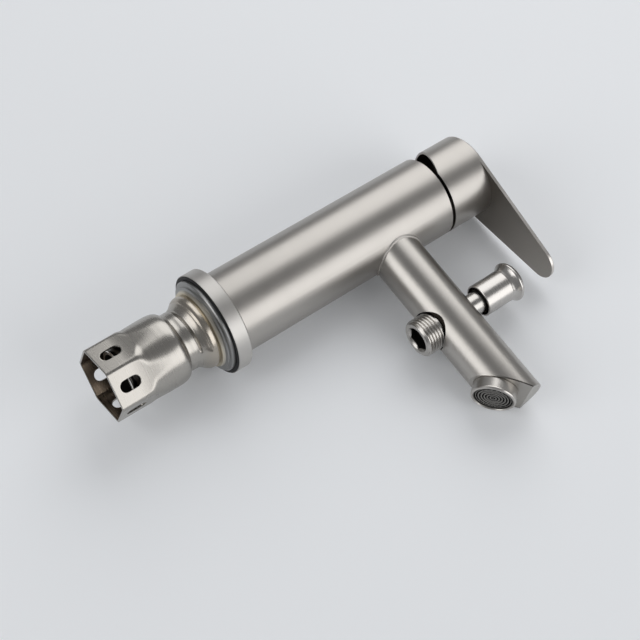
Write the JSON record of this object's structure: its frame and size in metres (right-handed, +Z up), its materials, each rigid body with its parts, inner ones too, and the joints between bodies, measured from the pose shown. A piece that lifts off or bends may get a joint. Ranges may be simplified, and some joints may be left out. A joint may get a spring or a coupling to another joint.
{
  "type": "basin tap",
  "caption": "Deck-mounted single-lever basin tap with a straight tubular body, angled-tip spout, shower outlet with pull-up diverter, and a threaded shank with sleeve nut.",
  "frame": {"origin": "centre of the deck contact face, on the body's axis, at the underside of the base gasket", "axes": "+Z up along the body, +X along the spout, +Y to the left of the spout seen from behind the tap"},
  "size_m": [0.1532, 0.0568, 0.2413],
  "materials": {
    "body_shell": "fine circumferential brushing, satin",
    "base_ring": "turned and lightly polished",
    "base_gasket": "matt",
    "threaded_shank": "turned thread, bright crests",
    "deck_washer": "deep drawn, pickled, faintly straw coloured",
    "mounting_nut": "deep drawn, pickled, faintly straw coloured",
    "spout_tube": "fine circumferential brushing, satin",
    "spout_weld": "ground bead, bright",
    "spout_end_cap": "fine lengthwise brushing, satin",
    "aerator_housing": "turned and lightly polished",
    "aerator_insert": "dark grey, fine rings",
    "aerator_washer": "matt",
    "shower_outlet": "turned thread, bright crests",
    "diverter_block": "machined",
    "diverter_bonnet": "turned and lightly polished",
    "bonnet_oring": "matt",
    "diverter_stem": "bright",
    "plunger_seal": "matt",
    "diverter_spring": "drawn wire",
    "diverter_knob": "turned and lightly polished",
    "valve_manifold": "machined",
    "cartridge_base": "matt off white",
    "cartridge_seals": "matt",
    "fixed_disc": "lapped alumina, stated as gloss plastic",
    "moving_disc": "lapped alumina, stated as gloss plastic",
    "disc_carrier": "matt off white",
    "stem_guide": "matt black",
    "stem_pin": "bright",
    "cartridge_stem": "turned thread, bright crests",
    "cartridge_housing": "matt black",
    "retaining_nut": "matt black",
    "handle": "fine lengthwise brushing, satin",
    "handle_set_screw": "bright"
  },
  "bodies": {
    "tap": {"body_shell": "body_shell", "base_ring": "base_ring", "base_gasket": "base_gasket", "threaded_shank": "threaded_shank", "spout_tube": "spout_tube", "spout_weld": "spout_weld", "spout_end_cap": "spout_end_cap", "aerator_housing": "aerator_housing", "aerator_insert": "aerator_insert", "aerator_washer": "aerator_washer", "shower_outlet": "shower_outlet", "diverter_block": "diverter_block", "diverter_bonnet": "diverter_bonnet", "bonnet_oring": "bonnet_oring", "valve_manifold": "valve_manifold", "cartridge_base": "cartridge_base", "cartridge_seals": "cartridge_seals", "fixed_disc": "fixed_disc", "cartridge_housing": "cartridge_housing", "retaining_nut": "retaining_nut"},
    "rotor": {"stem_guide": "stem_guide", "stem_pin": "stem_pin"},
    "lever": {"cartridge_stem": "cartridge_stem", "handle": "handle", "handle_set_screw": "handle_set_screw"},
    "mixing_disc": {"moving_disc": "moving_disc", "disc_carrier": "disc_carrier"},
    "diverter": {"diverter_stem": "diverter_stem", "plunger_seal": "plunger_seal", "diverter_knob": "diverter_knob", "diverter_spring": "diverter_spring"},
    "washer": {"deck_washer": "deck_washer"},
    "nut": {"mounting_nut": "mounting_nut"}
  },
  "joints": [
    {"name": "lever_turn", "type": "hinge", "parent": "tap", "child": "rotor", "pos_m": [0, 0, 0.14078], "axis": [0, 0, 1], "range_deg": [-50, 50]},
    {"name": "lever_lift", "type": "hinge", "parent": "rotor", "child": "lever", "pos_m": [0, 0, 0.14078], "axis": [0, -1, 0], "range_deg": [0, 20]},
    {"name": "disc_slide", "type": "slide", "parent": "rotor", "child": "mixing_disc", "axis": [1, 0, 0], "range_m": [0, 0.0023]},
    {"name": "diverter_lift", "type": "slide", "parent": "tap", "child": "diverter", "axis": [0, 0, 1], "range_m": [0, 0.007], "stiffness_N_per_m": 300, "springref_m": -0.008, "deforming": ["diverter_spring"]},
    {"name": "washer_slide", "type": "slide", "parent": "tap", "child": "washer", "axis": [0, 0, -1], "range_m": [0, 0.03]},
    {"name": "nut_turn", "type": "hinge", "parent": "washer", "child": "nut", "pos_m": [0, 0, 0], "axis": [0, 0, -1], "range_deg": [0, 2348]}
  ],
  "couplings": [
    {"joint": "disc_slide", "follows": "lever_lift", "m_per_rad": 0.0065},
    {"joint": "nut_turn", "follows": "washer_slide", "rad_per_m": 1365.9}
  ]
}
